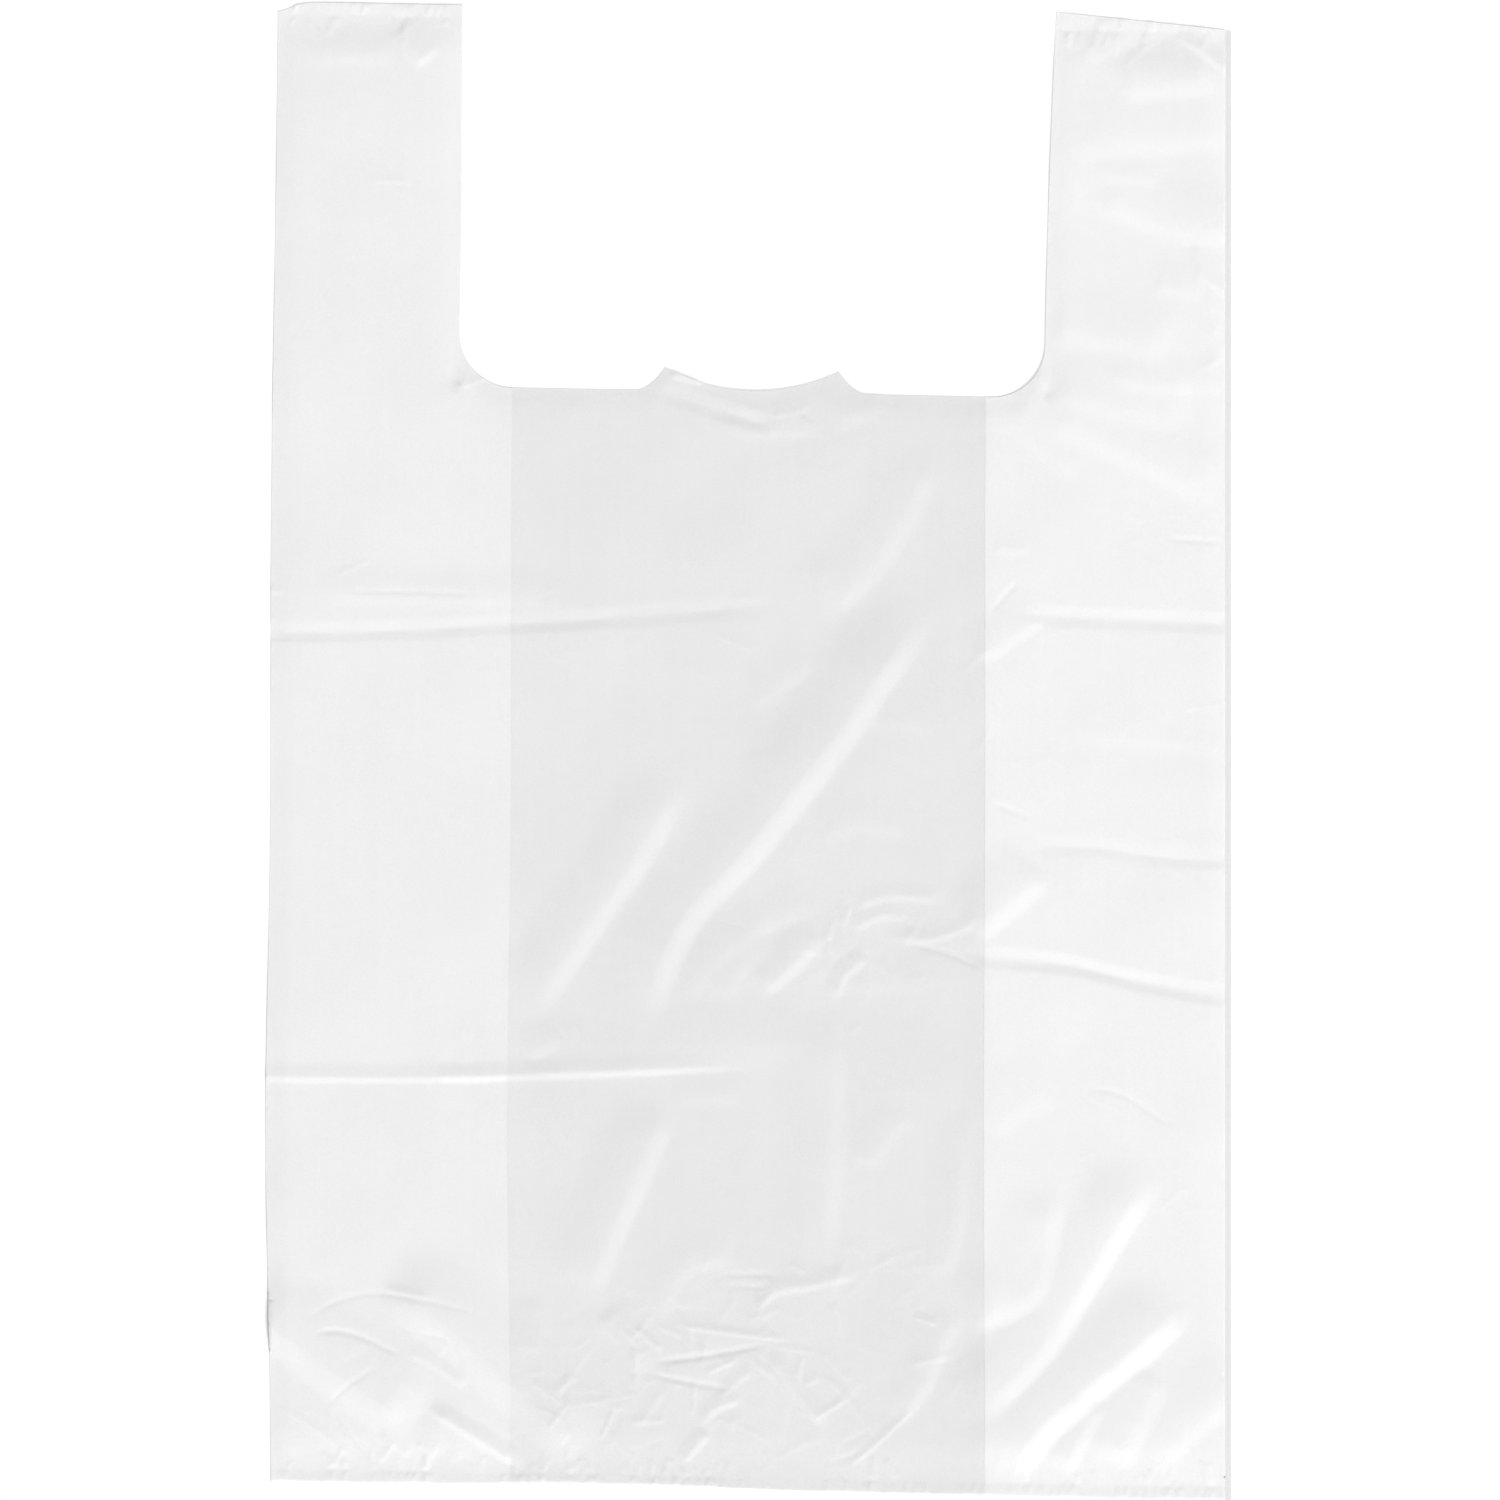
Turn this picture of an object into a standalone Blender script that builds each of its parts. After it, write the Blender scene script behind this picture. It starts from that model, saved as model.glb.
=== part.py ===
"""A vest-type carrier bag of thin plastic film, lying flat and empty.

One gusseted tube of film is welded across the bottom and across the two handle
tops, and a U-shaped mouth is cut out between the handles. A torn stub is left
where the hanging tab was pulled off the mouth.

Metres, +Z up, +Y towards the handles. The back wall lies on z = 0 and the
bottom edge is at y = -LENGTH / 2.
"""

import math

import bmesh
import bpy

# The flat bag
WIDTH = 0.360
LENGTH = 0.555
FILM = 0.00002
GUSSET_DEPTH = 0.090
FRONT_FOLD_SHORT = 0.0023  # on the right the front pair of layers folds short of the back pair

# Handles and mouth
HANDLE_WIDTH = 0.070
MOUTH_DEPTH = 0.143
CORNER_RADIUS = 0.020

# The torn stub on the mouth's edge
STUB_HALF = 0.0325
STUB_HEIGHT = 0.0085
STUB_FOOT = 0.011
TEAR_DEPTH = 0.008

# Welds: a narrow fused line with a short free skirt outside it
SKIRT = 0.0042
WELD_WIDTH = 0.0010
PINCH = 0.0006  # flat run of pinched film on each side of a weld

# Heights of the layers above each other
WELD_PITCH = 0.00004
SKIRT_PITCH = 0.00025
BODY_PITCH = 0.0009
DRAPE_SHARE = 0.5  # how far the front wall sinks between the gussets
DRAPE_RUN = 0.012  # how wide each sloping step beside a gusset fold is

FOLD_STEPS = 6
CORNER_STEPS = 10
TEAR_STEPS = 12
CUT_MARGIN = 0.010

BOTTOM = -LENGTH / 2
TOP = LENGTH / 2
MOUTH_EDGE = TOP - MOUTH_DEPTH
MOUTH_HALF = WIDTH / 2 - HANDLE_WIDTH
WELD_LINES = (BOTTOM + SKIRT + WELD_WIDTH / 2, TOP - SKIRT - WELD_WIDTH / 2)


def clear_scene():
    for obj in list(bpy.data.objects):
        bpy.data.objects.remove(obj, do_unlink=True)


def film_material():
    """White film that lets some light through."""
    material = bpy.data.materials.new("film")
    material.use_nodes = True
    shader = material.node_tree.nodes["Principled BSDF"]
    shader.inputs["Base Color"].default_value = (0.90, 0.90, 0.89, 1.0)
    shader.inputs["Roughness"].default_value = 0.38
    shader.inputs["IOR"].default_value = 1.54
    shader.inputs["Alpha"].default_value = 0.85
    return material


def stations():
    """Places along the bag as (y, pitch of the layers, share of the full drape)."""
    half = WELD_WIDTH / 2 + PINCH
    low, high = WELD_LINES
    return (
        (BOTTOM, SKIRT_PITCH, 0.0),
        (low - half, WELD_PITCH, 0.0),
        (low + half, WELD_PITCH, 0.0),
        (low + 0.012, 0.35 * BODY_PITCH, 0.3),
        (low + 0.040, 0.80 * BODY_PITCH, 0.8),
        (low + 0.090, BODY_PITCH, 1.0),
        (MOUTH_EDGE - 0.060, BODY_PITCH, 1.0),
        (MOUTH_EDGE + 0.060, 0.85 * BODY_PITCH, 0.0),
        (high - 0.040, 0.60 * BODY_PITCH, 0.0),
        (high - 0.012, 0.25 * BODY_PITCH, 0.0),
        (high - half, WELD_PITCH, 0.0),
        (high + half, WELD_PITCH, 0.0),
        (TOP, SKIRT_PITCH, 0.0),
    )


def fold(x, low, high, side, upwards):
    """A half turn of film between two heights. Side is the way the fold points: 1 or -1."""
    radius = (high - low) / 2
    points = []
    for step in range(FOLD_STEPS + 1):
        angle = math.pi * (step / FOLD_STEPS - 0.5)
        points.append((x + side * (radius * math.cos(angle) - radius), low + radius + radius * math.sin(angle)))
    return points if upwards else points[::-1]


def front_wall(height, drop):
    """The front wall from right to left. It sinks between the gussets by drop."""
    fold_line = WIDTH / 2 - GUSSET_DEPTH
    outer = fold_line + 0.002
    inner = outer - DRAPE_RUN
    half_way = (outer + inner) / 2
    return [
        (outer, height),
        (half_way, height - drop / 2),
        (inner, height - drop),
        (-inner, height - drop),
        (-half_way, height - drop / 2),
        (-outer, height),
    ]


def centre_line(pitch, drape):
    """The film's centre line across the bag, as one closed loop of (x, z)."""
    back, gusset_back, gusset_front, front = (FILM / 2 + level * pitch for level in range(4))
    edge = WIDTH / 2
    inner = edge - GUSSET_DEPTH
    drop = drape * DRAPE_SHARE * 3 * pitch
    loop = front_wall(front, drop)
    loop += fold(-edge, gusset_front, front, -1, False)
    loop += fold(-inner, gusset_back, gusset_front, 1, False)
    loop += fold(-edge, back, gusset_back, -1, False)
    loop += fold(edge, back, gusset_back, 1, True)
    loop += fold(inner, gusset_back, gusset_front, -1, True)
    loop += fold(edge - FRONT_FOLD_SHORT, gusset_front, front, 1, True)
    return loop


def offset(loop, distance):
    """The loop moved sideways, square to itself, with its corners kept sharp."""
    moved = []
    count = len(loop)
    for index, (x, z) in enumerate(loop):
        before = loop[index - 1]
        after = loop[(index + 1) % count]
        first = unit(x - before[0], z - before[1])
        second = unit(after[0] - x, after[1] - z)
        across = unit(first[1] + second[1], -first[0] - second[0])
        stretch = distance / (across[0] * first[1] - across[1] * first[0])
        moved.append((x + across[0] * stretch, z + across[1] * stretch))
    return moved


def unit(x, z):
    length = math.hypot(x, z)
    return (x / length, z / length)


def film_tube():
    """The whole gusseted tube, with both ends open."""
    shape = bmesh.new()
    rings = []
    for y, pitch, drape in stations():
        loop = centre_line(pitch, drape)
        outside = [shape.verts.new((x, y, z)) for x, z in offset(loop, FILM / 2)]
        inside = [shape.verts.new((x, y, z)) for x, z in offset(loop, -FILM / 2)]
        rings.append((outside, inside))
    count = len(rings[0][0])
    for (outside, inside), (next_outside, next_inside) in zip(rings, rings[1:]):
        for i in range(count):
            j = (i + 1) % count
            shape.faces.new((outside[i], outside[j], next_outside[j], next_outside[i]))
            shape.faces.new((inside[i], next_inside[i], next_inside[j], inside[j]))
    for outside, inside in (rings[0], rings[-1]):
        for i in range(count):
            j = (i + 1) % count
            shape.faces.new((outside[i], inside[i], inside[j], outside[j]))
    return to_object("carrier_bag", shape)


def weld_bar(name, y):
    """The fused film of one weld. It joins the middles of the outermost layers."""
    low = FILM / 2
    high = FILM / 2 + 3 * WELD_PITCH
    edge = WIDTH / 2 - FRONT_FOLD_SHORT - 0.0002
    outline = [
        (-edge, y - WELD_WIDTH / 2),
        (edge, y - WELD_WIDTH / 2),
        (edge, y + WELD_WIDTH / 2),
        (-edge, y + WELD_WIDTH / 2),
    ]
    return prism(name, outline, low, high)


def mouth_outline():
    """The U between the handles, with the stub left standing on its lower edge."""
    half = []
    for step in range(CORNER_STEPS + 1):
        angle = math.pi / 2 * step / CORNER_STEPS
        x = MOUTH_HALF - CORNER_RADIUS + CORNER_RADIUS * math.cos(angle)
        y = MOUTH_EDGE + CORNER_RADIUS - CORNER_RADIUS * math.sin(angle)
        half.append((x, y))
    for step in range(5):
        share = step / 4
        x = STUB_HALF + STUB_FOOT * (1 - share)
        half.append((x, MOUTH_EDGE + STUB_HEIGHT * share**1.8))
    right = [(MOUTH_HALF, TOP + CUT_MARGIN)] + half
    tear = []
    for step in range(1, TEAR_STEPS):
        share = 2 * step / TEAR_STEPS - 1
        tear.append((-STUB_HALF * share, MOUTH_EDGE + STUB_HEIGHT - TEAR_DEPTH * (1 - share**2)))
    left = [(-x, y) for x, y in reversed(right)]
    return right + tear + left


def prism(name, outline, low, high):
    shape = bmesh.new()
    bottom = [shape.verts.new((x, y, low)) for x, y in outline]
    top = [shape.verts.new((x, y, high)) for x, y in outline]
    shape.faces.new(bottom[::-1])
    shape.faces.new(top)
    count = len(outline)
    for i in range(count):
        j = (i + 1) % count
        shape.faces.new((bottom[i], bottom[j], top[j], top[i]))
    return to_object(name, shape)


def to_object(name, shape):
    bmesh.ops.recalc_face_normals(shape, faces=shape.faces)
    mesh = bpy.data.meshes.new(name)
    shape.to_mesh(mesh)
    shape.free()
    obj = bpy.data.objects.new(name, mesh)
    bpy.context.scene.collection.objects.link(obj)
    return obj


def combine(target, other, operation):
    modifier = target.modifiers.new(other.name, "BOOLEAN")
    modifier.object = other
    modifier.operation = operation
    modifier.solver = "EXACT"
    other.hide_render = True
    other.display_type = "WIRE"


def main():
    clear_scene()
    bag = film_tube()
    for name, y in zip(("bottom_weld", "handle_weld"), WELD_LINES):
        combine(bag, weld_bar(name, y), "UNION")
    mouth = prism("mouth_cut", mouth_outline(), -CUT_MARGIN, CUT_MARGIN)
    combine(bag, mouth, "DIFFERENCE")
    bag.data.materials.append(film_material())


main()
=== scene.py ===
"""A vest-type carrier bag of thin white film, lying flat and empty on a pale floor.

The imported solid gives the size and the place. The film is one folded sheet of the
same cut, with its fold lines, soft folds, crumples, welds and puckered skirts.
"""

import math

import bmesh
import bpy
import numpy as np
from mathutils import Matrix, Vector
from mathutils.geometry import delaunay_2d_cdt


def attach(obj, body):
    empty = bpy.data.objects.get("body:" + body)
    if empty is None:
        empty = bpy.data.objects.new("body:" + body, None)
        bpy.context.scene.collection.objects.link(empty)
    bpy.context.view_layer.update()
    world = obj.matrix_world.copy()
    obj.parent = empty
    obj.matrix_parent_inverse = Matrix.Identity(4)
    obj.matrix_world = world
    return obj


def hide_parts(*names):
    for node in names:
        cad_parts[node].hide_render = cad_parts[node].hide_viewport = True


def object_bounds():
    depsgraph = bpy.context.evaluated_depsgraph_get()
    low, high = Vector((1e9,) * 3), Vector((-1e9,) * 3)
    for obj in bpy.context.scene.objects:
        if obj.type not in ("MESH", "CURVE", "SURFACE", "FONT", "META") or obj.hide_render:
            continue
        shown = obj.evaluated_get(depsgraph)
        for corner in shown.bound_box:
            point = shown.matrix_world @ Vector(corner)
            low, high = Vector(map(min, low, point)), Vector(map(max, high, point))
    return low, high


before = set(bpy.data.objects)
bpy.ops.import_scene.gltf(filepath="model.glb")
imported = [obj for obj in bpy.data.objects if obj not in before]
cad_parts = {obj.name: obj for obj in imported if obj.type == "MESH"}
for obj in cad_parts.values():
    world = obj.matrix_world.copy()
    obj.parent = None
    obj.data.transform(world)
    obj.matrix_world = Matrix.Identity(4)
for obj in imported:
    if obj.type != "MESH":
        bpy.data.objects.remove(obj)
CAD_LOW, CAD_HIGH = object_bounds()

# The flat cut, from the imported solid
MM = 0.001
WIDTH = CAD_HIGH.x - CAD_LOW.x
LENGTH = CAD_HIGH.y - CAD_LOW.y
BOTTOM = CAD_LOW.y
TOP = CAD_HIGH.y
EDGE = WIDTH / 2
GUSSET = WIDTH / 4
HANDLE = WIDTH * 7 / 36
MOUTH_HALF = EDGE - HANDLE
MOUTH_EDGE = TOP - LENGTH * 0.2577
CORNER = WIDTH / 18
FRONT_SHORT = 2.3 * MM
SKIRT = 4.2 * MM
WELD = 1.0 * MM
STUB_HALF = WIDTH * 0.0903
STUB_HEIGHT = 8.5 * MM
STUB_FOOT = 11 * MM
TEAR_DEPTH = 8 * MM
LEFT_FOLD = -EDGE + GUSSET
RIGHT_FOLD = EDGE - GUSSET - FRONT_SHORT
WELD_LINES = (BOTTOM + SKIRT + WELD / 2, TOP - SKIRT - WELD / 2)

# How the flat cut lies a little askew on the floor
SKEW = 0.02  # how far the whole bag drops towards its right side, for each metre across
HANDLE_LEAN = 2.5 * MM  # the left handle's top leans in
SIDE_BOW = 2 * MM  # the left side bows out, low down
BOW_MIDDLE = 0.24  # as a share of the length, from the bottom
BOW_SPREAD = 0.14
HANDLE_SPLAY = 4 * MM  # the right handle's inner edge leans out, so its top is narrower
SPLAY_START = 0.76
HANDLE_SLANT = 0.08  # the right handle's top slopes down to the side
CORNER_DROP = 3.5 * MM  # the top left corner is drawn down
CORNER_SPREAD = 7 * MM
HEM_ARCH = 1.5 * MM  # the bottom edge rises left of the middle

# Heights of the layers above the floor, where nothing presses them down
FLOOR_GAP = 0.03 * MM
WELD_STACK = 0.08 * MM
SIDE_REST = 0.85 * MM
CENTRE_REST = 0.6 * MM
DEEPEST = 0.6  # the share of its height that a groove may sink the front wall by
LAYER_SHARE = (0.05, 0.14, 0.24)  # the lower layers' heights, as shares of the front wall's
PRESSED = 0.25  # what is left of that height at the cut edges and side folds
PRESS_REACH = 8 * MM
LOOSE_RUN = 16 * MM  # how far from a weld the layers come fully free
FOLD_ROUND = 1.1 * MM  # how far from a fold line a layer starts to turn
WAVINESS = 0.0006  # height of a soft wave, as a share of its usual length
WAVE_LENGTHS = (0.09, 0.05, 0.028)

# The light comes from the bag's lower right corner
LIGHT_AZIMUTH = math.radians(-63)
LIGHT_ELEVATION = math.radians(30)
ROOM_STRENGTH = 0.56
KEY_STRENGTH = 4.5
KEY_SOFTNESS = math.radians(20)

# Film: how white it is, how much shows straight through, and how much glows through
WALL_WHITE = 0.85
WALL_CLEAR = 0.50
WALL_GLOW = 0.15
# The gussets are the same film as the walls. Their whites are painted light: drawn whiter to stand in
# for light scattered back by the extra layers, and the right one whiter than the left as painted light
# from the key on the right.
LEFT_GUSSET_PAINTED_LIGHT = 0.91
RIGHT_GUSSET_PAINTED_LIGHT = 0.96
GUSSET_CLEAR = 0.08
GUSSET_GLOW = 0.10
FLOOR_WHITE = 0.81
FLOOR_SIZE = 3.0

# The camera looks straight down, and sees a little more than the bag's length
CAMERA_HEIGHT = 1.7
SEEN = LENGTH * 1.0135
CAMERA_OFFSET = 0.4 * MM

# Mesh: the finest spacing of points is used only where the film bends
FINE = 0.75 * MM
FINE_SHARE = 0.14  # the most bent share of the front wall, which gets the finest spacing
MIDDLE_SHARE = 0.34  # the share that gets at most twice that spacing, with the finest share in it
GUSSET_STEP = 4.5 * MM
BACK_STEP = 5 * MM
BORDER_STEP = 1.5 * MM
ROUTE_STEPS = 5
PUCKER_STEP = 1.9 * MM
JOIN_WITHIN = 0.001 * MM
FOLDED_FLAT = math.radians(60)

# Kinds of fold: rise (below zero for a groove), width of the lit flank, width of the
# shaded flank, and how sharp the crest is from 0 to 1
KINDS = {
    "roll": (1.45 * MM, 9.5 * MM, 24.0 * MM, 0.1),
    "swell": (0.85 * MM, 8.5 * MM, 20.0 * MM, 0.0),
    "soft": (0.42 * MM, 5.5 * MM, 12.0 * MM, 0.0),
    "band": (2.1 * MM, 11.0 * MM, 26.0 * MM, 0.2),
    "pleat": (0.40 * MM, 2.8 * MM, 6.0 * MM, 0.4),
    "crease": (0.25 * MM, 1.5 * MM, 3.2 * MM, 0.7),
    "groove": (-0.50 * MM, 5.0 * MM, 4.5 * MM, 0.6),
    "nick": (-0.24 * MM, 2.2 * MM, 1.7 * MM, 0.6),
}
LIT_MIDDLE = 0.4  # the route runs along the middle of the lit flank, this share beside the crest

# Folds are placed one by one on a grid of 36 by 55.5 squares, which are centimetres on the
# flat bag, counted from its bottom left corner: kind, strength, and points on the route.
GRID = (36.0, 55.5)

CROSS_FOLDS = (
    ("groove", 1.1, (-5, 32.4), (3, 32.4), (9, 32.7), (14, 33), (20, 33.5)),
    ("soft", 0.8, (1, 33.5), (6, 33.4), (12, 33.3)),
    ("nick", 0.7, (2.5, 33.8), (5, 33.8), (8, 33.7)),
    ("crease", 1.0, (-0.4, 33.8), (0.5, 33.6)),
    ("pleat", 1.3, (-4, 15.5), (4, 15.4), (9, 15.5), (14, 15.7), (19.5, 15.9)),
    ("pleat", 0.8, (6, 15.5), (7.5, 15.4), (9, 15.5)),
    ("swell", 0.5, (9, 15.7), (13, 15.8), (17, 16.3), (21, 16.6)),
    ("soft", 0.5, (15, 14.7), (16.5, 14.6), (18, 14.8)),
    ("groove", 1.3, (27.5, 33.1), (31, 32.9), (36, 32.7), (38, 32.6)),
    ("groove", 0.8, (28, 24.4), (31, 24.3), (34, 23.9), (38, 23.9)),
    ("groove", 1.7, (25, 20.6), (27, 20.2), (30, 19.9), (33, 19.2), (38, 18.4)),
    ("soft", -0.5, (29, 28.2), (33, 27.9), (38, 27.5)),
    ("nick", 1.0, (33.5, 35.8), (36, 35.6), (37, 35.5)),
)

CENTRE_ROLLS = (
    ("roll", 1.0, (25.4, 33.8), (23, 30.4), (21.5, 28.2), (18, 23.8), (15.5, 21), (13.6, 16.2)),
    ("swell", 0.8, (25.2, 39), (23, 35), (20.6, 32.6)),
    ("soft", 0.7, (20.5, 31.2), (19, 30), (18, 29.3)),
    ("swell", 1.2, (15.6, 27), (14, 23.8), (13, 22.4), (11.3, 20), (9.6, 17.4)),
    ("soft", 0.8, (11, 17), (9.6, 16.2)),
    ("soft", 0.8, (20.8, 22), (18.3, 21), (16.5, 19.6), (15.8, 18)),
    ("soft", 0.8, (19, 20.6), (17.6, 19.4), (17.1, 18.3)),
    ("soft", 1.6, (20.8, 20.9), (19.8, 19.8), (18.3, 18.5)),
    ("swell", 0.9, (21, 18.2), (21.2, 15.5), (21.1, 12), (21, 10.5), (20.7, 8.4)),
    ("swell", 1.2, (15, 14.6), (14, 12), (13, 9.8), (12.2, 7.8), (11.8, 7)),
    ("soft", 0.9, (26.3, 14.5), (26, 12), (25.8, 9.8), (25, 7.5)),
    ("soft", 0.8, (24, 14), (23, 13), (22.6, 12)),
    ("soft", 0.5, (22, 28.8), (23.5, 28.7), (25, 28.6)),
)

CURLS = (
    ("pleat", 0.8, (21.8, 21.8), (23.2, 22.2), (25.2, 22.1)),
    ("pleat", 0.8, (21.8, 21), (23, 21.5), (23.9, 21.3)),
    ("pleat", 0.9, (23, 20.7), (24.5, 20.6), (26, 21), (26.7, 21.7)),
    ("nick", 1.8, (24, 20.6), (25.5, 20.2), (26.8, 19.6)),
    ("pleat", 1.0, (22.5, 20), (21.6, 19.3), (21.2, 18.4)),
    ("crease", 1.0, (21.8, 22), (21.5, 21.1)),
    ("crease", 1.0, (21.1, 21.4), (21, 20.6)),
    ("soft", 0.4, (21, 18.9), (23, 18.9), (25, 18.9)),
    ("soft", 0.6, (20.5, 24.2), (22, 24.9), (24, 24.6)),
)

BOTTOM_LEFT = (
    ("band", 1.0, (-1.5, 6.4), (0.5, 5.3), (2, 4.2), (3.3, 3.3), (5.2, 2)),
    ("band", 1.0, (3.8, 7.6), (6.4, 5.8), (8, 4.3), (9.5, 2.9), (11.6, 0.9)),
    ("pleat", 2.8, (5.8, 3.1), (7.5, 2), (9.4, 0.8)),
    ("nick", 0.9, (1, 6.4), (2.5, 7.2), (4, 7.5), (6, 7.2), (8, 6.7)),
    ("crease", 1.0, (4.2, 7.5), (6, 7.2)),
    ("nick", 1.6, (1.5, 6), (2.5, 6.1), (3.6, 5.8), (5, 5.1)),
    ("pleat", 0.9, (5, 5.2), (6, 4.7), (7.3, 3.8)),
    ("crease", 0.9, (0.4, 3.1), (1.6, 2.3), (3, 1.2)),
    ("nick", 1.5, (2.3, 3.3), (3, 2.3), (3.9, 1.1)),
    ("nick", 0.8, (2, 3.2), (2.8, 4), (4, 4.8)),
    ("nick", 1.0, (5.5, 6), (6.7, 5.7), (7.4, 4.2)),
    ("pleat", 0.9, (4, 2.1), (5.2, 1.2)),
    ("pleat", 0.8, (5.4, 1.7), (6.2, 1.3)),
    ("soft", 0.3, (0, 8), (3, 8.3)),
)

BOTTOM_CENTRE = (
    ("soft", 1.3, (12.2, 6.7), (13, 5.6), (13.9, 4.3)),
    ("crease", 1.5, (13.6, 6.1), (14.6, 5.2)),
    ("crease", 0.9, (14.4, 6.2), (15.4, 5.7)),
    ("crease", 1.4, (15, 6.2), (17, 5.9), (19.6, 5.6)),
    ("nick", 1.8, (14.2, 4.9), (16, 5.1), (18.7, 5.6)),
    ("nick", 1.8, (14.2, 4.5), (15.5, 4.2), (17.2, 3.9)),
    ("soft", 0.9, (14.7, 6.3), (15.1, 7.6), (16, 8.4), (17.6, 8.7)),
    ("nick", 1.2, (16.7, 8.2), (19, 8.2)),
    ("nick", 1.0, (17, 7.8), (18.6, 7.7)),
    ("pleat", 1.0, (18.2, 6.8), (19, 7.4), (20.2, 7.6), (21.4, 7.9), (22.2, 8.1)),
    ("crease", 0.8, (18.3, 6.7), (18.8, 7.4)),
    ("crease", 0.8, (19.4, 8.5), (20, 8.1)),
    ("pleat", 1.6, (18.5, 5.2), (19.2, 4.2), (20, 3.1), (20.7, 2.3)),
    ("crease", 1.1, (17.7, 5), (19, 4), (20, 2.6), (20.8, 1.2)),
    ("crease", 1.1, (20.5, 4.4), (21.5, 3.5), (22.8, 1.8)),
    ("crease", 1.3, (24.2, 3.1), (22.8, 1.8), (21.6, 0.8)),
    ("pleat", 1.1, (17.7, 3.4), (16.7, 3), (16.2, 2.4)),
    ("pleat", 1.3, (16.5, 2.2), (15.5, 1)),
    ("crease", 0.7, (16.9, 2.7), (18.3, 2), (18.9, 1.7)),
    ("soft", 0.7, (10.2, 7.3), (10.1, 5)),
    ("crease", 0.5, (12.2, 5.5), (10.6, 3.3)),
    ("crease", 0.6, (11, 3.1), (13.8, 3.6)),
    ("crease", 1.0, (24, 6.5), (25, 6.2)),
    ("soft", 1.3, (23.5, 2.4), (24.6, 4), (25.2, 5.4), (26, 6.8)),
)

BOTTOM_RIGHT = (
    ("roll", 1.6, (27.6, 0.2), (29, 2.1), (30.2, 3.2), (31.5, 4.3), (32.8, 5.3), (34.6, 7)),
    ("swell", 1.8, (26, 2.2), (29, 5.2), (30.5, 7.5), (32, 10), (33.5, 12.2)),
    ("swell", 1.3, (26, 6), (28.4, 7.2), (29, 8.5), (29.5, 11.4)),
    ("soft", 1.6, (29.8, 0.6), (31.2, 3.4)),
    ("swell", 1.0, (31.8, 0.8), (33.5, 4.4)),
    ("swell", 0.9, (33, 0.8), (35, 2.6), (37, 4.2)),
    ("swell", 0.5, (27, 13.2), (28.3, 14.3), (29.5, 14.7)),
    ("crease", 0.5, (33.3, 10.5), (34.4, 11.4)),
    ("nick", 1.0, (30.5, 15.2), (32, 14.9), (34, 13.6)),
)

RIGHT_SIDE = (
    ("swell", 1.1, (26.2, 20.6), (29.2, 23.1)),
    ("soft", 1.2, (26.4, 31), (29.2, 32.8)),
    ("nick", 1.0, (26.9, 33), (28, 34.2)),
    ("nick", 1.0, (27, 25.9), (28.5, 25.3)),
    ("pleat", 0.5, (27, 35.2), (28.5, 35.2)),
    ("crease", 0.5, (25.9, 30.6), (27, 31.6)),
    ("swell", 0.9, (28.6, 40.2), (31.5, 39), (35.6, 37)),
    ("swell", 0.7, (29, 41.2), (32, 40.4), (34.5, 39.9)),
    ("soft", 0.9, (27.4, 40.4), (30.2, 37.8)),
)

MOUTH = (
    ("groove", 1.4, (14.4, 41.5), (16, 41), (17.5, 40.5), (19, 40)),
    ("pleat", 1.2, (14.9, 41.8), (16.2, 41.5)),
    ("soft", 0.8, (16.6, 39.8), (18.5, 39.6), (20.2, 39.8), (20.5, 40.4)),
    ("crease", 0.6, (18.7, 40.2), (20.2, 40.5)),
    ("soft", 0.7, (21, 39.8), (22.2, 40.3), (23.2, 40.9)),
    ("crease", 0.5, (16.5, 32.1), (18.2, 31.4)),
    ("crease", 0.5, (2.4, 34.2), (3.8, 34.9)),
)

HANDLES = (
    ("soft", 1.3, (4.5, 54.8), (5.7, 53.3)),
    ("soft", 0.6, (1.5, 53.6), (4.8, 53.8)),
    ("crease", 0.5, (3.6, 49.1), (5.4, 49)),
    ("crease", 0.8, (7.1, 41.3), (8.4, 41.8)),
    ("soft", 1.2, (30.4, 53.5), (32.6, 54.6)),
    ("pleat", 1.5, (34, 54.5), (36.2, 52.9)),
    ("swell", 0.9, (31.6, 52.4), (33.5, 52.5), (35.6, 52.7)),
    ("swell", 0.7, (29.8, 50.3), (33, 50.4), (36.4, 50.7)),
    ("soft", 0.8, (30.8, 49.3), (33.5, 49.1)),
    ("swell", 0.9, (30.6, 48.4), (33, 47.5), (34.4, 47.1), (36.8, 47)),
    ("pleat", 0.9, (34.4, 47), (35, 45.4), (36.4, 44.5)),
    ("soft", 0.8, (33, 45.1), (35, 44.8)),
    ("swell", 0.7, (29, 43.3), (32, 42.9), (33.6, 42.3)),
    ("soft", 0.9, (31.2, 41.8), (33, 41.4), (36, 41.3)),
    ("pleat", 0.6, (35.3, 44), (35.7, 42.6), (34.8, 41.9)),
)

FOLDS = (
    CROSS_FOLDS,
    CENTRE_ROLLS,
    CURLS,
    BOTTOM_LEFT,
    BOTTOM_CENTRE,
    BOTTOM_RIGHT,
    RIGHT_SIDE,
    MOUTH,
    HANDLES,
)

# Crushed places on the same grid: middle x and y, spread across and up, number of
# creases, and how high the highest is in mm
CRUSHED = (
    (18.0, 3.5, 3.6, 1.9, 90, 0.26),
    (12.0, 3.2, 1.7, 1.6, 30, 0.22),
    (18.5, 7.0, 2.2, 1.0, 18, 0.20),
    (22.5, 20.0, 1.8, 1.3, 26, 0.16),
    (19.0, 20.0, 1.8, 1.2, 14, 0.14),
    (5.5, 4.0, 2.4, 1.7, 22, 0.15),
    (22.0, 8.5, 1.3, 0.9, 18, 0.16),
    (32.5, 53.8, 1.6, 0.7, 12, 0.12),
    (5.0, 26.0, 3.0, 14.0, 60, 0.08),
    (18.0, 26.0, 5.5, 11.0, 80, 0.09),
    (31.5, 28.0, 3.0, 14.0, 90, 0.10),
)


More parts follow.
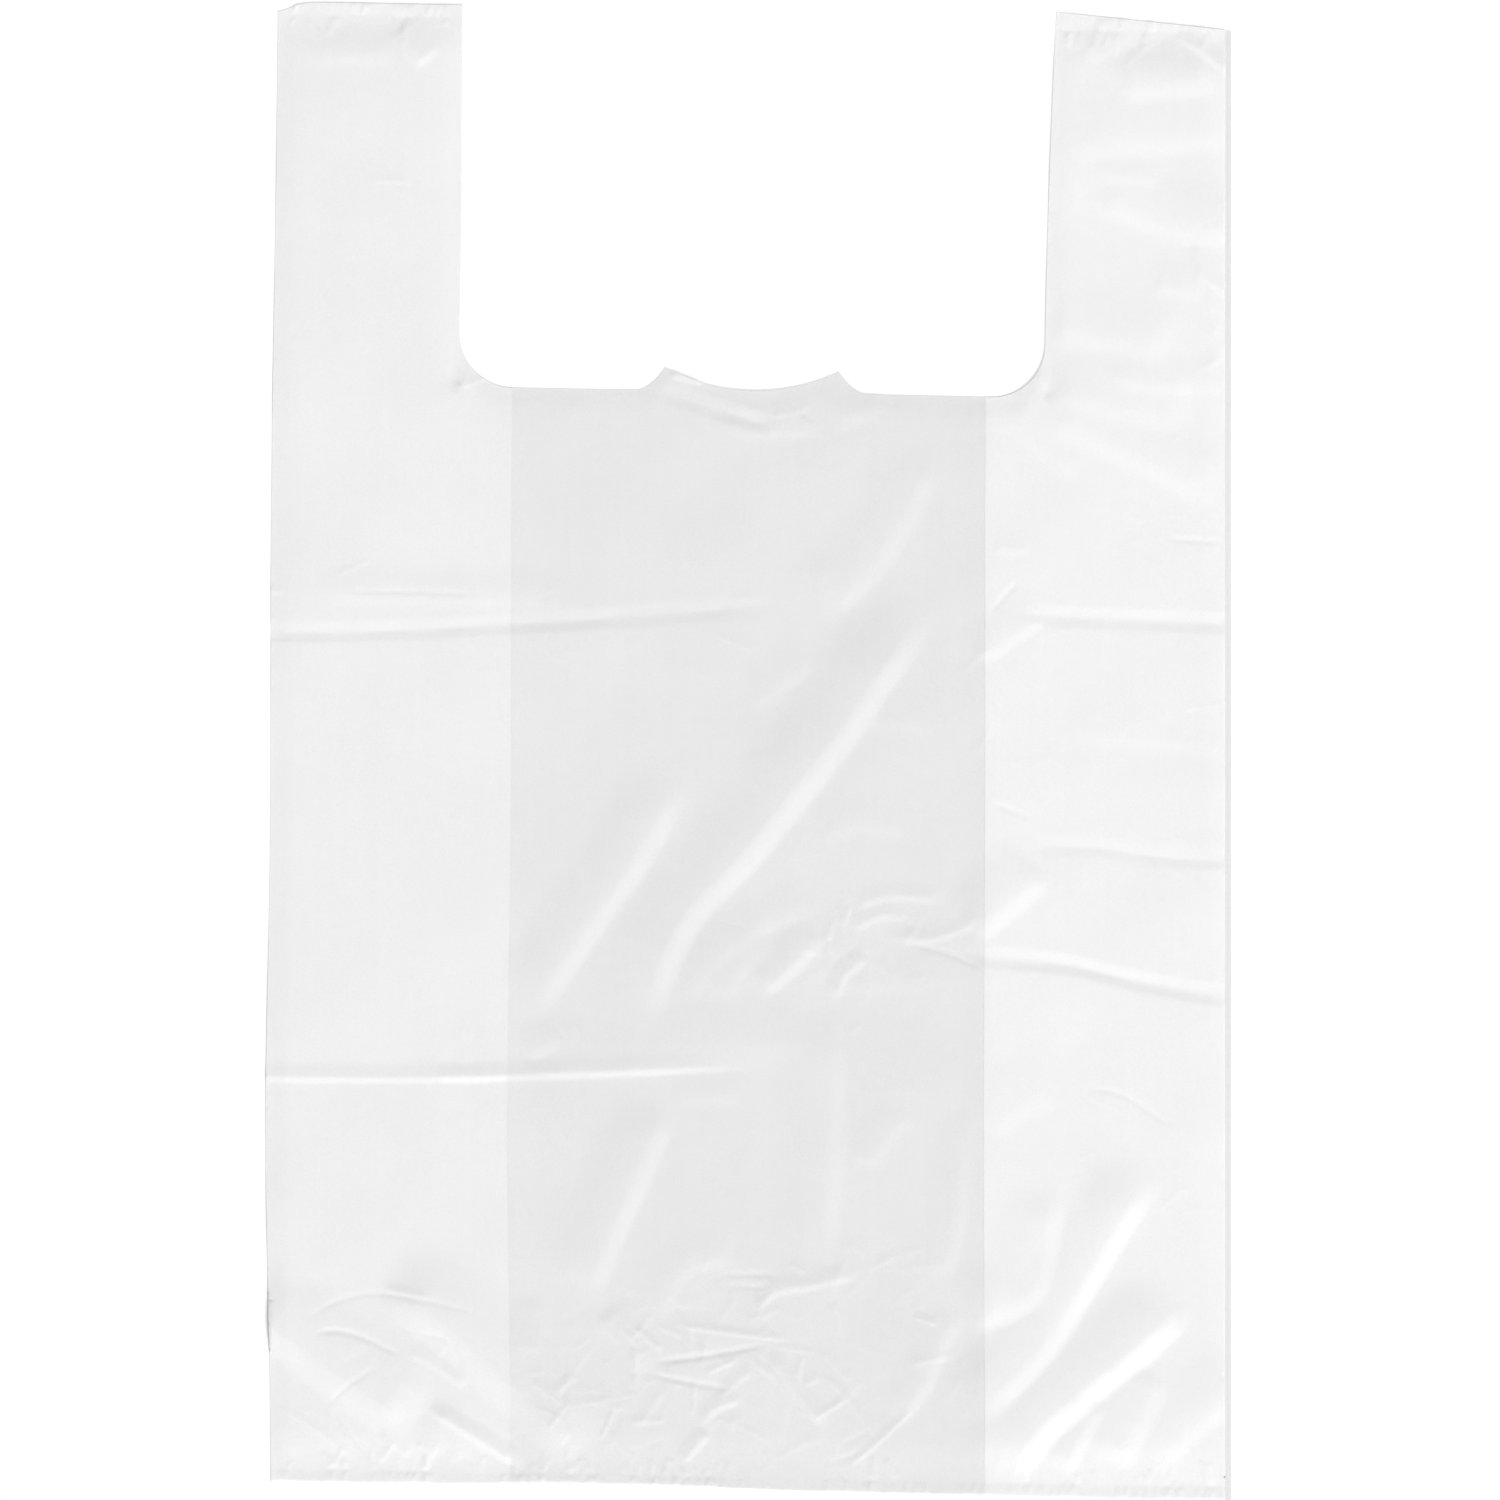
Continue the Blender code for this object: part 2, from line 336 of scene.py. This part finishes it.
def smooth(value, start, end):
    """0 before start, 1 after end, and an even curve between them."""
    share = np.clip((value - start) / (end - start), 0.0, 1.0)
    return share * share * (3 - 2 * share)


def place(x, y):
    """Where a point of the flat cut comes to lie: the layers have slipped a little askew."""
    up = (y - BOTTOM) / LENGTH
    left_side = 0.5 - x / WIDTH
    lean = HANDLE_LEAN * smooth(up, 0.6, 1.0)
    bow = SIDE_BOW * np.exp(-(((up - BOW_MIDDLE) / BOW_SPREAD) ** 2))
    moved_x = x + left_side * (lean - bow)
    splay = HANDLE_SPLAY * np.clip((up - SPLAY_START) / (1 - SPLAY_START), 0, 1) ** 1.6
    moved_x = moved_x + splay * np.clip((EDGE - x) / HANDLE, 0, 1) * (x > 0)
    moved_y = y - SKEW * x
    on_right_handle = smooth(up, 0.8, 1.0) * (x > MOUTH_HALF - CORNER / 2)
    moved_y = moved_y - HANDLE_SLANT * (x - MOUTH_HALF - HANDLE / 3) * on_right_handle
    corner = np.exp(-(((x + EDGE) / CORNER_SPREAD) ** 2)) * smooth(up, 0.985, 1.0)
    arch = np.exp(-(((x + 0.3 * EDGE) / (0.4 * EDGE)) ** 2)) * (1 - smooth(up, 0, 0.15))
    return moved_x, moved_y - CORNER_DROP * corner + HEM_ARCH * arch


def mouth_line(x):
    """The height of the mouth's lower edge at x, for the cut before it slips askew."""
    x = np.abs(x)
    line = np.full(x.shape, MOUTH_EDGE)
    into = np.clip(x - (MOUTH_HALF - CORNER), 0, CORNER)
    line = line + CORNER - np.sqrt(CORNER**2 - into**2)
    foot = np.clip((STUB_HALF + STUB_FOOT - x) / STUB_FOOT, 0, 1)
    stub = STUB_HEIGHT * foot**1.8
    torn = STUB_HEIGHT - TEAR_DEPTH * (1 - (x / STUB_HALF) ** 2)
    return line + np.where(x < STUB_HALF, torn, stub)


def in_cut(x, y, margin):
    """True where a point of the plan lies in the film, margin away from the mouth."""
    past = np.hypot(np.abs(x) - (MOUTH_HALF - CORNER), y - (MOUTH_EDGE + CORNER))
    in_corner = (np.abs(x) > MOUTH_HALF - CORNER) & (y < MOUTH_EDGE + CORNER)
    under_mouth = y < mouth_line(np.clip(x, -MOUTH_HALF, MOUTH_HALF)) - margin
    below = np.where(in_corner, past > CORNER + margin, under_mouth) & (y < MOUTH_EDGE + CORNER)
    return (np.abs(x) > MOUTH_HALF + margin) | below


def mouth_points():
    """The mouth's outline from its top right to its top left."""
    right = []
    for step in range(1, 25):
        angle = math.pi / 2 * step / 24
        x = MOUTH_HALF - CORNER + CORNER * math.cos(angle)
        right.append((x, MOUTH_EDGE + CORNER - CORNER * math.sin(angle)))
    start = right[-1][0]
    foot = STUB_HALF + STUB_FOOT
    count = int((start - foot) / BORDER_STEP)
    right += [(start + (foot - start) * i / count, MOUTH_EDGE) for i in range(1, count + 1)]
    for step in range(1, 9):
        share = step / 8
        right.append((foot - STUB_FOOT * share, MOUTH_EDGE + STUB_HEIGHT * share**1.8))
    torn = []
    for step in range(1, 48):
        share = 1 - 2 * step / 48
        torn.append((STUB_HALF * share, MOUTH_EDGE + STUB_HEIGHT - TEAR_DEPTH * (1 - share**2)))
    return right + torn + [(-x, y) for x, y in reversed(right)]


def run(start, end, step=BORDER_STEP):
    """Evenly spaced points from start towards end, without the end."""
    count = max(1, round(math.dist(start, end) / step))
    way_x = (end[0] - start[0]) / count
    way_y = (end[1] - start[1]) / count
    return [(start[0] + way_x * i, start[1] + way_y * i) for i in range(count)]


def panel_outline(left, right):
    """The closed outline of one layer between two upright fold lines."""
    outline = run((left, BOTTOM), (right, BOTTOM))
    mouth = mouth_points()
    if right > MOUTH_HALF:
        outline += run((right, BOTTOM), (right, TOP)) + run((right, TOP), (MOUTH_HALF, TOP))
        outline += run((MOUTH_HALF, TOP), (MOUTH_HALF, MOUTH_EDGE + CORNER))
    else:
        outline += run((right, BOTTOM), (right, MOUTH_EDGE))
        mouth = [p for p in mouth if p[0] <= right + 1e-6]
    if left > -MOUTH_HALF:
        mouth = [p for p in mouth if p[0] > left + 1e-6]
        return outline + mouth + run((left, MOUTH_EDGE), (left, BOTTOM))
    outline += mouth + run((-MOUTH_HALF, MOUTH_EDGE + CORNER), (-MOUTH_HALF, TOP))
    return outline + run((-MOUTH_HALF, TOP), (left, TOP)) + run((left, TOP), (left, BOTTOM))


def route_of(knots):
    """A smooth route in metres through points given in squares of the grid."""
    square = (WIDTH / GRID[0], LENGTH / GRID[1])
    knots = [Vector((-EDGE + x * square[0], BOTTOM + y * square[1])) for x, y in knots]
    if len(knots) == 2:
        return knots
    ends = [2 * knots[0] - knots[1]] + knots + [2 * knots[-1] - knots[-2]]
    route = []
    for a, b, c, d in zip(ends, ends[1:], ends[2:], ends[3:]):
        for step in range(ROUTE_STEPS):
            t = step / ROUTE_STEPS
            bend = 2 * a - 5 * b + 4 * c - d
            twist = 3 * b - a - 3 * c + d
            route.append(0.5 * (2 * b + t * (c - a) + t * t * bend + t**3 * twist))
    return route + [knots[-1]]


def add_fold(height, x, y, shape, route):
    """Adds one fold to the height of every point near its route."""
    rise, lit, shaded, sharp = shape
    reach = max(lit, shaded)
    low = (min(p.x for p in route) - reach, min(p.y for p in route) - reach)
    high = (max(p.x for p in route) + reach, max(p.y for p in route) + reach)
    near = np.nonzero((x > low[0]) & (x < high[0]) & (y > low[1]) & (y < high[1]))[0]
    if not len(near):
        return
    px, py = x[near], y[near]
    best = np.full(len(near), 1e9)
    side = np.zeros(len(near))
    along = np.zeros(len(near))
    total = sum((b - a).length for a, b in zip(route, route[1:]))
    done = 0.0
    for a, b in zip(route, route[1:]):
        step = b - a
        length = step.length
        t = np.clip(((px - a.x) * step.x + (py - a.y) * step.y) / length**2, 0, 1)
        dx = px - a.x - t * step.x
        dy = py - a.y - t * step.y
        away = np.hypot(dx, dy)
        closer = away < best
        best = np.where(closer, away, best)
        side = np.where(closer, step.x * dy - step.y * dx, side)
        along = np.where(closer, (done + t * length) / total, along)
        done += length
    run_on = route[-1] - route[0]
    towards_light = -run_on.y * math.cos(LIGHT_AZIMUTH) + run_on.x * math.sin(LIGHT_AZIMUTH)
    lit_side = side * towards_light * rise > 0
    from_crest = np.where(lit_side, best, -best) + LIT_MIDDLE * lit
    t = np.clip(np.abs(from_crest) / np.where(from_crest > 0, lit, shaded), 0, 1)
    profile = (1 - sharp) * (1 - t * t) ** 2 + sharp * (1 - t) ** 2
    height[near] += rise * profile * smooth(np.minimum(along, 1 - along), 0.0, 0.2)


def relief(x, y):
    """The height that folds and crumples add to the front wall, at places on the floor."""
    height = np.zeros(len(x))
    for group in FOLDS:
        for kind, strength, *knots in group:
            rise, lit, shaded, sharp = KINDS[kind]
            add_fold(height, x, y, (rise * strength, lit, shaded, sharp), route_of(knots))
    for shape, route in puckers() + crumples():
        add_fold(height, x, y, shape, route)
    return height + soft_waves(x, y)


def soft_waves(x, y):
    """Broad and gentle unevenness all over the film."""
    random = np.random.default_rng(11)
    total = np.zeros(len(x))
    for size in WAVE_LENGTHS:
        for _ in range(10):
            angle = random.uniform(0, math.pi)
            phase = random.uniform(0, 2 * math.pi)
            wave = 2 * math.pi / (size * random.uniform(0.7, 1.4))
            total += size * np.sin(wave * (x * math.cos(angle) + y * math.sin(angle)) + phase)
    return total * WAVINESS


def crumples():
    """Short faint creases scattered where the film was crushed."""
    random = np.random.default_rng(23)
    made = []
    for x, y, spread_x, spread_y, count, strength in CRUSHED:
        for _ in range(count):
            start = np.array((random.normal(x, spread_x), random.normal(y, spread_y)))
            angle = random.uniform(0, math.pi)
            length = random.uniform(0.5, 1.9)
            end = start + length * np.array((math.cos(angle), math.sin(angle)))
            wide = random.uniform(1.0, 2.2) * MM
            rise = strength * random.uniform(-0.6, 1.0) * MM
            made.append(((rise, wide, 2 * wide, 0.5), route_of((start, end))))
    return made


def puckers():
    """Short ripples across each weld and its skirt."""
    random = np.random.default_rng(5)
    made = []
    spans = ((-EDGE, EDGE, 0), (-EDGE, -MOUTH_HALF, 1), (MOUTH_HALF, EDGE, 1))
    for start, end, at_top in spans:
        inward = -1 if at_top else 1
        for _ in range(int((end - start) / PUCKER_STEP)):
            x = random.uniform(start + 2 * MM, end - 3 * MM)
            askew = -SKEW * x
            weld = WELD_LINES[at_top] + inward * WELD / 2 + askew
            free = (TOP if at_top else BOTTOM) + askew
            lean = random.uniform(-2.2, 2.2) * MM
            wide = random.uniform(0.9, 1.9) * MM
            rise = random.uniform(0.05, 0.20) * MM
            route = [Vector((x, free)), Vector((x + lean, weld - inward * WELD / 2))]
            made.append(((rise, wide, wide, 0.4), route))
            if random.random() < 0.55:
                reach = random.uniform(2.5, 11) * MM
                lean = random.uniform(-0.7, 0.7) * reach
                wide = random.uniform(1.2, 2.8) * MM
                rise = random.uniform(-0.10, 0.26) * MM
                route = [Vector((x, weld)), Vector((x + lean, weld + inward * reach))]
                made.append(((rise, wide, wide, 0.4), route))
    return made


def looseness(y):
    """1 where the layers lie free of each other, near 0 at a weld."""
    low, high = WELD_LINES
    inside = smooth(y, low, low + LOOSE_RUN) * (1 - smooth(y, high - LOOSE_RUN, high))
    skirts = 0.25 * (1 - smooth(y, BOTTOM, low)) + 0.25 * smooth(y, high, TOP)
    return np.where((y > low) & (y < high), inside, skirts)


def press(x, y):
    """1 well inside the film, less along its cut edges and side folds, which lie flat."""
    inner = np.clip(np.abs(x), 0, MOUTH_HALF)
    from_mouth = np.where(np.abs(x) > MOUTH_HALF, np.abs(x) - MOUTH_HALF, mouth_line(inner) - y)
    from_mouth = np.where((np.abs(x) > MOUTH_HALF) & (y < MOUTH_EDGE), PRESS_REACH, from_mouth)
    away = np.minimum(from_mouth, EDGE - np.abs(x))
    return PRESSED + (1 - PRESSED) * smooth(away, 0, PRESS_REACH)


def layer_heights(level, x, y, bend):
    """Heights of one layer, from 0 for the back wall to 3 for the front wall."""
    loose = looseness(y)
    from_left = smooth(x, LEFT_FOLD - 2 * MM, LEFT_FOLD + 9 * MM)
    from_right = 1 - smooth(x, RIGHT_FOLD - 9 * MM, RIGHT_FOLD + 2 * MM)
    rest = SIDE_REST + (CENTRE_REST - SIDE_REST) * from_left * from_right
    thick = WELD_STACK + rest * loose * press(x, y)
    if level < 3:
        return FLOOR_GAP + LAYER_SHARE[level] * thick
    room = DEEPEST * thick
    return FLOOR_GAP + thick + np.where(bend > 0, bend, -room * np.tanh(-bend / room))


def fold_height(z, x, y, line, upper, lower):
    """Rounds a layer into a fold: near the line it comes to the height half way between two layers."""
    away = np.clip(np.abs(x - line) / FOLD_ROUND, 0, 1)
    middle = (upper + lower) / 2
    return middle + (z - middle) * np.sqrt(1 - (1 - away) ** 2)


def fine_grid(left, right):
    """Places for points inside a panel: closest together where the film bends most."""
    columns = np.arange(left + FINE, right - FINE / 2, FINE)
    rows = np.arange(BOTTOM + FINE, TOP - FINE / 2, FINE)
    x, y = np.meshgrid(columns, rows)
    heights = relief(*place(x.ravel(), y.ravel())).reshape(x.shape)
    bend = np.zeros(x.shape)
    bend[1:-1, 1:-1] = np.abs(
        heights[1:-1, 2:]
        + heights[1:-1, :-2]
        + heights[2:, 1:-1]
        + heights[:-2, 1:-1]
        - 4 * heights[1:-1, 1:-1]
    )
    wide = bend.copy()
    for shift in ((0, 1), (0, -1), (1, 0), (-1, 0)):
        wide = np.maximum(wide, np.roll(bend, shift, (0, 1)))
    free = in_cut(x, y, 0.45 * MM)
    row, column = np.indices(x.shape)
    sharpest = np.quantile(wide[free], 1 - FINE_SHARE)
    bent = np.quantile(wide[free], 1 - MIDDLE_SHARE)
    every_second = (row % 2 == 0) & (column % 2 == 0)
    every_fourth = (row % 4 == 0) & (column % 4 == 0)
    keep = free & ((wide > sharpest) | (every_second & (wide > bent)) | every_fourth)
    random = np.random.default_rng(2)
    jitter = random.uniform(-0.18, 0.18, (2, *x.shape)) * FINE
    return (x + jitter[0])[keep], (y + jitter[1])[keep]


def even_grid(left, right, step):
    columns = np.arange(left + step * 0.7, right - step * 0.4, step)
    rows = np.arange(BOTTOM + step * 0.6, TOP - step * 0.4, step * 0.87)
    x, y = np.meshgrid(columns, rows)
    x = x + (np.arange(len(rows)) % 2)[:, None] * step / 2
    x = x.ravel()
    y = y.ravel()
    for weld, inward in zip(WELD_LINES, (1, -1)):
        rows = weld + inward * np.array((-0.8, 0, 0.8, 2, 4, 7, 10)) * MM
        more_x, more_y = np.meshgrid(columns, rows)
        clear = np.abs(y - weld - inward * 4.5 * MM) > 7 * MM
        x = np.concatenate((x[clear], more_x.ravel()))
        y = np.concatenate((y[clear], more_y.ravel()))
    free = in_cut(x, y, 0.3 * step) & (x < right - 0.25 * step)
    return x[free], y[free]


def fold_rows(line, side):
    """Extra points just inside an upright fold, so that it is round."""
    heights = np.arange(BOTTOM + 1.5 * MM, TOP - 1 * MM, 2.6 * MM)
    x = np.concatenate([np.full(len(heights), line + side * away * MM) for away in (0.12, 0.35, 0.75)])
    y = np.concatenate([heights] * 3)
    free = in_cut(x, y, 0.2 * MM)
    return x[free], y[free]


def triangulate(outline, x, y, seam):
    """Triangles that fill the outline, through all the points and along the seam."""
    inside = [Vector((float(a), float(b))) for a, b in zip(x, y)]
    points = [Vector(p) for p in outline] + [Vector(p) for p in seam] + inside
    count = len(outline)
    edges = [(i, (i + 1) % count) for i in range(count)]
    edges += [(count + i, count + i + 1) for i in range(len(seam) - 1)]
    verts, _, faces, *_ = delaunay_2d_cdt(points, edges, [], 1, 1e-8)
    return np.array([tuple(v) for v in verts]), np.array([tuple(f) for f in faces])


def panel(level, left, right, step):
    """One layer of film: points on the floor plan, heights and triangles."""
    outline = panel_outline(left, right)
    x, y = fine_grid(left, right) if level == 3 else even_grid(left, right, step)
    extra = []
    if abs(left) > MOUTH_HALF:
        extra.append(fold_rows(left, 1))
    if abs(right) > MOUTH_HALF:
        extra.append(fold_rows(right, -1))
    for ex, ey in extra:
        x, y = np.concatenate((x, ex)), np.concatenate((y, ey))
    short = EDGE - FRONT_SHORT
    seam = run((short, BOTTOM + MM), (short, TOP - MM)) if level == 1 and right > short else []
    flat, faces = triangulate(outline, x, y, seam)
    x, y = flat[:, 0], flat[:, 1]
    lie_x, lie_y = place(x, y)
    bend = relief(lie_x, lie_y)
    z = layer_heights(level, x, y, bend)
    pair = (3, 2) if level > 1 else (1, 0)
    upper, lower = (layer_heights(k, x, y, bend) for k in pair)
    for line in (left, right):
        if abs(line) > MOUTH_HALF:
            z = fold_height(z, x, y, line, upper, lower)
        else:
            upper_in, lower_in = layer_heights(2, x, y, bend), layer_heights(1, x, y, bend)
            z = fold_height(z, x, y, line, upper_in, lower_in)
    if level in (0, 2):
        faces = faces[:, ::-1]  # these two face down
    return np.stack((lie_x, lie_y, z), 1), faces


def film_mesh():
    """All the layers as one sheet, joined at their folds."""
    # level, left line, right line, spacing of the points, material
    panels = [
        (3, -EDGE, EDGE - FRONT_SHORT, 0, 0),
        (2, -EDGE, LEFT_FOLD, GUSSET_STEP, 1),
        (1, -EDGE, LEFT_FOLD, GUSSET_STEP, 1),
        (2, RIGHT_FOLD, EDGE - FRONT_SHORT, GUSSET_STEP, 2),
        (1, RIGHT_FOLD, EDGE, GUSSET_STEP, 2),
        (0, -EDGE, EDGE, BACK_STEP, 0),
    ]
    points, faces, slots, start = [], [], [], 0
    for level, left, right, step, slot in panels:
        places, triangles = panel(level, left, right, step)
        points.append(places)
        faces.append(triangles + start)
        uncovered = places[triangles].mean(1)[:, 0] > EDGE - FRONT_SHORT
        slots += np.where(uncovered, 0, slot).tolist()
        start += len(places)
    points = np.concatenate(points)
    faces = np.concatenate(faces)
    mesh = bpy.data.meshes.new("carrier_film")
    mesh.from_pydata(points.tolist(), [], faces.tolist())
    mesh.polygons.foreach_set("material_index", slots)
    join_folds(mesh)
    mesh.polygons.foreach_set("use_smooth", [True] * len(mesh.polygons))
    mesh.update()
    return mesh


def join_folds(mesh):
    """Welds the layers into one sheet where their edges share a fold line."""
    shape = bmesh.new()
    shape.from_mesh(mesh)
    rims = [vert for vert in shape.verts if vert.is_boundary]
    bmesh.ops.remove_doubles(shape, verts=rims, dist=JOIN_WITHIN)
    for edge in shape.edges:
        edge.smooth = not (edge.is_manifold and edge.calc_face_angle() > FOLDED_FLAT)
    shape.to_mesh(mesh)
    shape.free()


def node(tree, kind, **values):
    made = tree.nodes.new(kind)
    for name, value in values.items():
        setattr(made, name, value)
    return made


def noise(tree, where, scale, detail, stretch=(1, 1, 1)):
    """A noise in metres, stretched along an axis if asked."""
    mapping = node(tree, "ShaderNodeMapping")
    mapping.inputs["Scale"].default_value = stretch
    tree.links.new(where, mapping.inputs["Vector"])
    made = node(tree, "ShaderNodeTexNoise")
    made.inputs["Scale"].default_value = scale
    made.inputs["Detail"].default_value = detail
    tree.links.new(mapping.outputs["Vector"], made.inputs["Vector"])
    return made.outputs["Fac"]


def spread(tree, value, low, high):
    """The noise's middle range turned into a factor from low to high."""
    made = node(tree, "ShaderNodeMapRange")
    made.inputs["From Min"].default_value = 0.25
    made.inputs["From Max"].default_value = 0.75
    made.inputs["To Min"].default_value = low
    made.inputs["To Max"].default_value = high
    tree.links.new(value, made.inputs["Value"])
    return made.outputs["Result"]


def times(tree, first, second):
    made = node(tree, "ShaderNodeMath", operation="MULTIPLY")
    tree.links.new(first, made.inputs[0])
    tree.links.new(second, made.inputs[1])
    return made.outputs["Value"]


def milky(tree, colour, normal, clear, through):
    """Satin film, partly see-through, with some light glowing through it."""
    satin = node(tree, "ShaderNodeBsdfPrincipled")
    satin.inputs["Roughness"].default_value = 0.36
    satin.inputs["IOR"].default_value = 1.5
    glow = node(tree, "ShaderNodeBsdfTranslucent")
    tree.links.new(colour, satin.inputs["Base Color"])
    tree.links.new(colour, glow.inputs["Color"])
    if normal is not None:
        tree.links.new(normal, satin.inputs["Normal"])
        tree.links.new(normal, glow.inputs["Normal"])
    body = node(tree, "ShaderNodeMixShader")
    body.inputs["Fac"].default_value = through
    tree.links.new(satin.outputs["BSDF"], body.inputs[1])
    tree.links.new(glow.outputs["BSDF"], body.inputs[2])
    gap = node(tree, "ShaderNodeBsdfTransparent")
    film = node(tree, "ShaderNodeMixShader")
    film.inputs["Fac"].default_value = clear
    tree.links.new(body.outputs["Shader"], film.inputs[1])
    tree.links.new(gap.outputs["BSDF"], film.inputs[2])
    output = node(tree, "ShaderNodeOutputMaterial")
    tree.links.new(film.outputs["Shader"], output.inputs["Surface"])


def tinted(tree, white, factor):
    """White film, a little lighter and darker from place to place."""
    shade = node(tree, "ShaderNodeMix", data_type="RGBA", blend_type="MULTIPLY")
    shade.inputs[0].default_value = 1.0
    shade.inputs[6].default_value = (white, white, white, 1)
    tree.links.new(factor, shade.inputs[7])
    return shade.outputs[2]


def new_tree(name):
    material = bpy.data.materials.new(name)
    material.use_nodes = True
    material.node_tree.nodes.clear()
    return material, material.node_tree


def outer_film():
    """The walls: fine grain, soft clouding, faint lines drawn along the tube, and crinkle."""
    material, tree = new_tree("film")
    where = node(tree, "ShaderNodeTexCoord").outputs["Object"]
    grain = spread(tree, noise(tree, where, 1500, 0), 0.978, 1.022)
    cloud = spread(tree, noise(tree, where, 14, 2), 0.988, 1.012)
    drawn = spread(tree, noise(tree, where, 420, 0, (1, 0.02, 1)), 0.996, 1.004)
    colour = tinted(tree, WALL_WHITE, times(tree, times(tree, grain, cloud), drawn))
    bump = node(tree, "ShaderNodeBump")
    bump.inputs["Strength"].default_value = 0.25
    bump.inputs["Distance"].default_value = 0.0004
    tree.links.new(noise(tree, where, 160, 2), bump.inputs["Height"])
    milky(tree, colour, bump.outputs["Normal"], WALL_CLEAR, WALL_GLOW)
    return material


def gusset_film_painted_light(name, white):
    """A tucked-in gusset, which lies between the walls; it is the walls' film drawn whiter, painted
    light that makes that side whiter.
    """
    material, tree = new_tree(name)
    where = node(tree, "ShaderNodeTexCoord").outputs["Object"]
    cloud = spread(tree, noise(tree, where, 22, 1), 0.985, 1.0)
    milky(tree, tinted(tree, white, cloud), None, GUSSET_CLEAR, GUSSET_GLOW)
    return material


def make_bag():
    mesh = film_mesh()
    mesh.materials.append(outer_film())
    # painted light: both gussets are drawn whiter than the walls, and the right one whiter still for
    # the key on the right
    mesh.materials.append(gusset_film_painted_light("left_gusset_film_painted_light", LEFT_GUSSET_PAINTED_LIGHT))
    mesh.materials.append(gusset_film_painted_light("right_gusset_film_painted_light", RIGHT_GUSSET_PAINTED_LIGHT))
    bag = bpy.data.objects.new("carrier_film", mesh)
    bpy.context.scene.collection.objects.link(bag)
    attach(bag, "root")
    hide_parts("carrier_bag")
    return bag


def make_floor():
    size = FLOOR_SIZE
    corners = [(-size, -size, 0), (size, -size, 0), (size, size, 0), (-size, size, 0)]
    mesh = bpy.data.meshes.new("floor")
    mesh.from_pydata(corners, [], [(0, 1, 2, 3)])
    floor = bpy.data.objects.new("floor", mesh)
    bpy.context.scene.collection.objects.link(floor)
    material = bpy.data.materials.new("pale_floor")
    material.use_nodes = True
    shader = material.node_tree.nodes["Principled BSDF"]
    shader.inputs["Base Color"].default_value = (FLOOR_WHITE, FLOOR_WHITE, FLOOR_WHITE, 1)
    shader.inputs["Roughness"].default_value = 0.9
    shader.inputs["Specular IOR Level"].default_value = 0.1
    mesh.materials.append(material)


def make_lights():
    """An even soft room, and one soft distant light low on the lower right."""
    world = bpy.data.worlds.new("soft_room")
    world.use_nodes = True
    world.node_tree.nodes["Background"].inputs["Color"].default_value = (1, 1, 1, 1)
    world.node_tree.nodes["Background"].inputs["Strength"].default_value = ROOM_STRENGTH
    bpy.context.scene.world = world
    data = bpy.data.lights.new("key", "SUN")
    data.energy = KEY_STRENGTH
    data.angle = KEY_SOFTNESS
    light = bpy.data.objects.new("key", data)
    flat = math.cos(LIGHT_ELEVATION)
    from_x = math.cos(LIGHT_AZIMUTH) * flat
    from_y = math.sin(LIGHT_AZIMUTH) * flat
    towards_key = Vector((from_x, from_y, math.sin(LIGHT_ELEVATION)))
    light.rotation_euler = towards_key.to_track_quat("Z", "Y").to_euler()
    bpy.context.scene.collection.objects.link(light)


def make_camera():
    """Straight above the bag, with the handles at the top of the picture."""
    data = bpy.data.cameras.new("camera")
    camera = bpy.data.objects.new("camera", data)
    data.sensor_width = 36
    data.lens = data.sensor_width * CAMERA_HEIGHT / SEEN
    data.clip_start = 0.05
    data.clip_end = 50
    middle = (CAD_LOW + CAD_HIGH) / 2
    camera.location = (middle.x - CAMERA_OFFSET, middle.y + CAMERA_OFFSET, CAMERA_HEIGHT)
    bpy.context.scene.collection.objects.link(camera)
    bpy.context.scene.camera = camera


bpy.context.scene.view_settings.view_transform = "Standard"
bag = make_bag()
make_floor()
make_lights()
make_camera()
